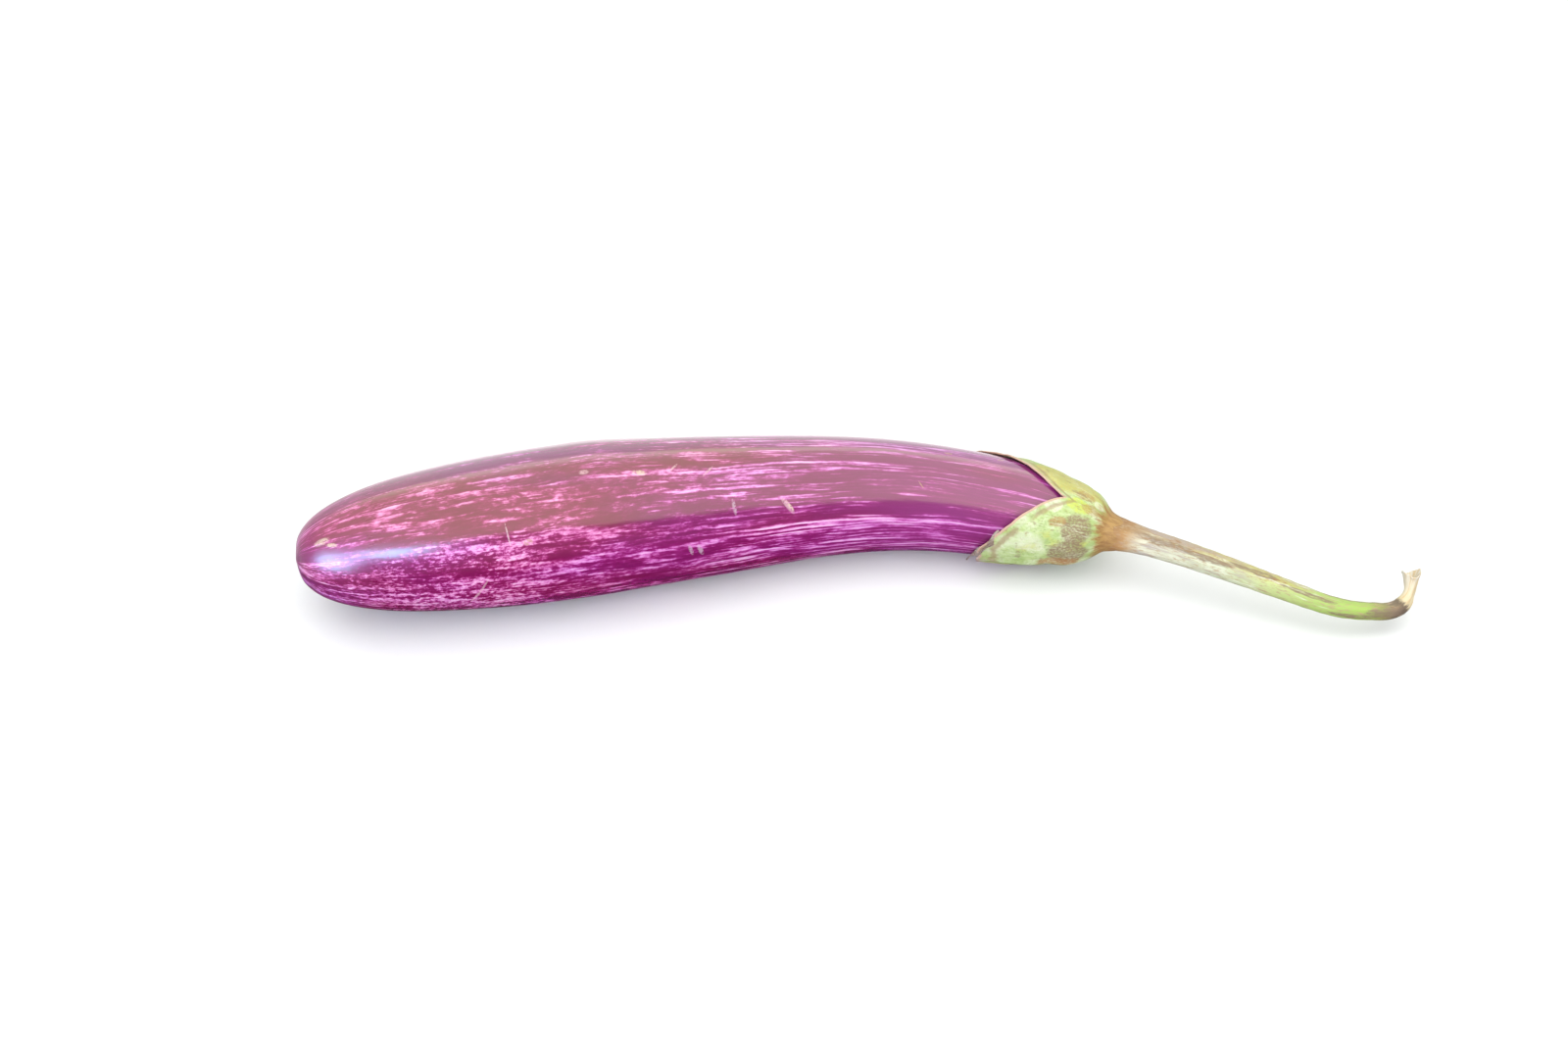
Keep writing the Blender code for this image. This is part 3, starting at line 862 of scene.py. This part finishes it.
# %% Leaf
def leaf_finish():
    finish, shader, grain = begin_finish("leafy_calyx", "grain")
    margin = grain.node("ShaderNodeAttribute", {"attribute_name": "margin"}, {}, "Fac")
    dryness = grain.node("ShaderNodeAttribute", {"attribute_name": "dryness"}, {}, "Fac")
    place = grain.along((1.0, 0.0, 0.0))
    ragged = grain.noise((700, 700, 700), 3.0, 0.65, 6.0) - 0.5
    soft = grain.noise((150, 190, 190), 3.0, 0.55, 11.0)
    fresh = grain.noise((110, 130, 130), 2.0, 0.5, 19.0)
    fine = grain.noise((1400, 1800, 1800), 3.0, 0.6, 23.0)
    veins = grain.noise((160, 1500, 1500), 3.0, 0.6, 29.0)
    grime = grain.noise((330, 420, 420), 5.0, 0.72, 47.0)

    colour = (soft + ragged * 0.35).ramp((
        (0.30, paint(170, 196, 112)), (0.44, paint(190, 214, 136)),
        (0.54, paint(208, 228, 166)), (0.68, paint(232, 240, 200)),
    ))
    colour = colour.under(paint(208, 218, 110), (fresh + ragged * 0.3).between(0.54, 0.68) * 0.85)
    colour = colour.under(paint(150, 172, 96), (fine + grime * 0.5).between(0.74, 0.96) * 0.6)

    # Patches: the place, the angle, the length, the width, the tilt and how strong each is.
    cream, lime, olive = paint(244, 246, 222), paint(216, 230, 92), paint(214, 200, 104)
    brown, rust = paint(152, 126, 98), paint(182, 128, 72)
    patches = (
        (lime, 0.2172, 76, 0.0066, 0.0060, 0, 1.0), (cream, 0.2105, 66, 0.0052, 0.0050, 30, 0.9),
        (cream, 0.2036, 16, 0.0130, 0.0060, 5, 0.5), (cream, 0.2222, 96, 0.0030, 0.0044, 0, 0.8),
        (olive, 0.2120, 112, 0.0200, 0.0110, 0, 0.9), (brown, 0.2182, 40, 0.0082, 0.0120, 0, 1.0),
        (brown, 0.2168, 0, 0.0110, 0.0110, 30, 1.0), (rust, 0.2140, -20, 0.0120, 0.0060, 10, 0.9),
        (rust, 0.2128, 46, 0.0050, 0.0034, 20, 0.8), (rust, 0.2205, 78, 0.0050, 0.0050, 0, 0.7),
        (rust, 0.2180, 98, 0.0060, 0.0040, 40, 0.6), (brown, 0.2110, 170, 0.0120, 0.0050, 20, 0.8),
        (brown, 0.2150, 215, 0.0080, 0.0080, 0, 0.8), (rust, 0.2060, 245, 0.0100, 0.0040, -20, 0.8),
        (brown, 0.2080, -60, 0.0080, 0.0060, 30, 0.8), (lime, 0.2100, 200, 0.0080, 0.0060, 0, 0.7),
    )
    for tint, *where, strength in patches:
        mask = (mark(grain, CALYX_RADIUS, *where) + grime * 1.5).between(0.90, 1.50)
        colour = colour.under(tint, mask * (0.35 + fine.between(0.30, 0.60) * 0.6) * strength)

    # Smaller stains all over, in streaks that follow the veins.
    stains = (grain.noise((260, 420, 420), 3.0, 0.6, 37.0) + ragged * 0.4).between(0.60, 0.72)
    colour = colour.under(brown, stains * 0.6)
    colour = colour.under(rust, veins.between(0.60, 0.76) * 0.35)
    colour = colour.under(cream, veins.between(0.42, 0.30) * 0.4)

    # The fold inside the margin, the rim, the crown's rusty ring and the dried tips.
    wobble = margin + ragged * 0.0016
    fold = wobble.between(0.0014, 0.0024) * wobble.between(0.0040, 0.0029)
    fold = fold * grain.noise((120, 120, 120), 2.0, 0.5, 43.0).between(0.32, 0.46)
    colour = colour.under(paint(170, 138, 100), fold * 0.65)
    colour = colour.under(paint(226, 184, 164), margin.between(0.0008, 0.0004))
    crown = (place + (grime - 0.5) * 0.008).between(0.2218, 0.2248)
    colour = colour.under(paint(190, 136, 72), crown * 0.9)
    colour = colour.under(paint(160, 112, 62), crown * grime.between(0.46, 0.60) * 0.7)
    dry = (dryness + ragged * 0.25).between(0.84, 1.02)
    dead = (veins + ragged * 0.4).ramp((
        (0.34, paint(118, 90, 76)), (0.50, paint(162, 136, 122)), (0.64, paint(212, 196, 192)),
    ))
    colour = colour.under(dead, dry)

    height = veins * 0.8 + fine * 0.45 + stains * 0.3 - soft * 0.5
    bump = height.node("ShaderNodeBump", {}, {"Height": height, "Distance": 0.00022, "Strength": 0.8})
    grain.join(shader.inputs["Base Color"], colour)
    grain.join(shader.inputs["Roughness"], 0.52 + fine * 0.12 + dry * 0.12)
    grain.join(shader.inputs["Normal"], bump)
    return finish


calyx.data.materials.append(leaf_finish())

# %% [markdown]
# ## The stem's finish
#
# From the crown the stem is rusty, then almost white with lilac grey and tan streaks, then lime
# green, and it ends in a dark brown band and dry straw. One colour ramp along the stem gives this
# order. The streaks and blotches run lengthwise, so their noise is stretched along the stem.

# %% Stalk
def stalk_finish():
    finish, shader, grain = begin_finish("green_stalk", "grain")
    place = grain.along((1.0, 0.0, 0.0))
    upper = grain.along((0.0, 0.35 / SHAFT_RADIUS, 0.94 / SHAFT_RADIUS))
    ragged = grain.noise((500, 1500, 1500), 3.0, 0.65, 6.0) - 0.5
    streaks = grain.noise((90, 700, 700), 3.0, 0.6, 12.0)
    fine = grain.noise((500, 2600, 2600), 3.0, 0.6, 18.0)
    blots = grain.noise((75, 230, 230), 3.0, 0.6, 27.0)
    grime = grain.noise((220, 700, 700), 5.0, 0.72, 47.0)

    start, end = 0.2235, SPINE_END
    share = ((place + ragged * 0.004) - start) * (1 / (end - start))
    body = share.ramp((
        (0.00, paint(190, 136, 72)), (0.07, paint(196, 148, 90)), (0.13, paint(232, 230, 206)),
        (0.36, paint(212, 222, 184)), (0.50, paint(206, 222, 150)), (0.64, paint(182, 212, 112)),
        (0.78, paint(170, 206, 88)), (0.83, paint(150, 150, 84)), (0.86, paint(120, 102, 86)),
        (0.892, paint(112, 92, 80)), (0.905, paint(240, 222, 180)), (1.00, paint(250, 244, 228)),
    ))
    green = share.between(0.90, 0.86)

    ochre, rust, lilac = paint(202, 188, 104), paint(164, 116, 68), paint(186, 172, 170)
    brown, tan, pale = paint(140, 116, 98), paint(190, 160, 128), paint(238, 243, 222)
    top = (upper + ragged * 0.8).between(0.45, 0.95)
    colour = body.under(ochre, top * share.between(0.12, 0.3) * share.between(0.66, 0.5) * 0.8)
    colour = colour.under(rust, (top * share.between(0.34, 0.12) + share.between(0.09, 0.02)) * 0.8)
    middle = share.between(0.08, 0.14) * share.between(0.50, 0.36)
    colour = colour.under(lilac, streaks.between(0.44, 0.58) * middle * 0.8)
    fair = streaks.between(0.46, 0.36) * share.between(0.74, 0.6) * share.between(0.08, 0.15)
    colour = colour.under(pale, fair * 0.7)
    colour = colour.under(tan, (fine + grime * 0.6).between(0.78, 0.98) * green * 0.8)

    # Elongated blotches: the place, the angle, the length and the width of each.
    blotches = (
        (0.2400, 70, 0.0200, 0.0022), (0.2545, 62, 0.0130, 0.0020), (0.2650, 84, 0.0130, 0.0018),
        (0.2700, 92, 0.0080, 0.0020), (0.2830, 70, 0.0170, 0.0017), (0.2780, 140, 0.0240, 0.0016),
        (0.2960, 128, 0.0180, 0.0018), (0.2950, 8, 0.0140, 0.0020), (0.3040, 40, 0.0120, 0.0040),
        (0.2600, 200, 0.0180, 0.0026), (0.2820, 230, 0.0160, 0.0024), (0.2480, 270, 0.0150, 0.0024),
    )
    marks = 0.0
    for where in blotches:
        marks = mark(grain, SHAFT_RADIUS, *where) + marks
    marks = (marks * 0.8 + grime * 1.7).between(1.05, 1.60) * green
    colour = colour.under(brown, marks * share.between(0.08, 0.16) * fine.between(0.25, 0.55) * 0.85)
    specks = (blots + ragged * 0.8).between(0.56, 0.70) * green * top
    colour = colour.under(rust, specks * 0.8)

    # The dry end is straw with grey, frayed streaks.
    dry = 1 - green
    frayed = streaks.between(0.46, 0.60) * share.between(0.9, 0.91)
    colour = colour.under(paint(226, 190, 134), frayed * 0.7)
    height = streaks * 0.9 + fine * 0.7 + marks * 0.4
    bump = height.node("ShaderNodeBump", {}, {"Height": height, "Distance": 0.00018, "Strength": 0.8})
    grain.join(shader.inputs["Base Color"], colour)
    grain.join(shader.inputs["Roughness"], 0.46 + fine * 0.12 + dry * 0.2)
    grain.join(shader.inputs["Normal"], bump)
    return finish


stem.data.materials.append(stalk_finish())

# %% Floor finish
floor_finish = bpy.data.materials.new("pale_floor")
floor_finish.use_nodes = True
floor_shader = floor_finish.node_tree.nodes["Principled BSDF"]
floor_shader.inputs["Base Color"].default_value = (0.62, 0.635, 0.65, 1.0)
floor_shader.inputs["Roughness"].default_value = 0.7
floor.data.materials.append(floor_finish)

# %% Ride and replace
for piece, node, slot in (
    (fruit, "fruit", "skin"), (calyx, "calyx", "calyx"), (stem, "stem", "stem"),
):
    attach(piece, "root")
    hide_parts(node)
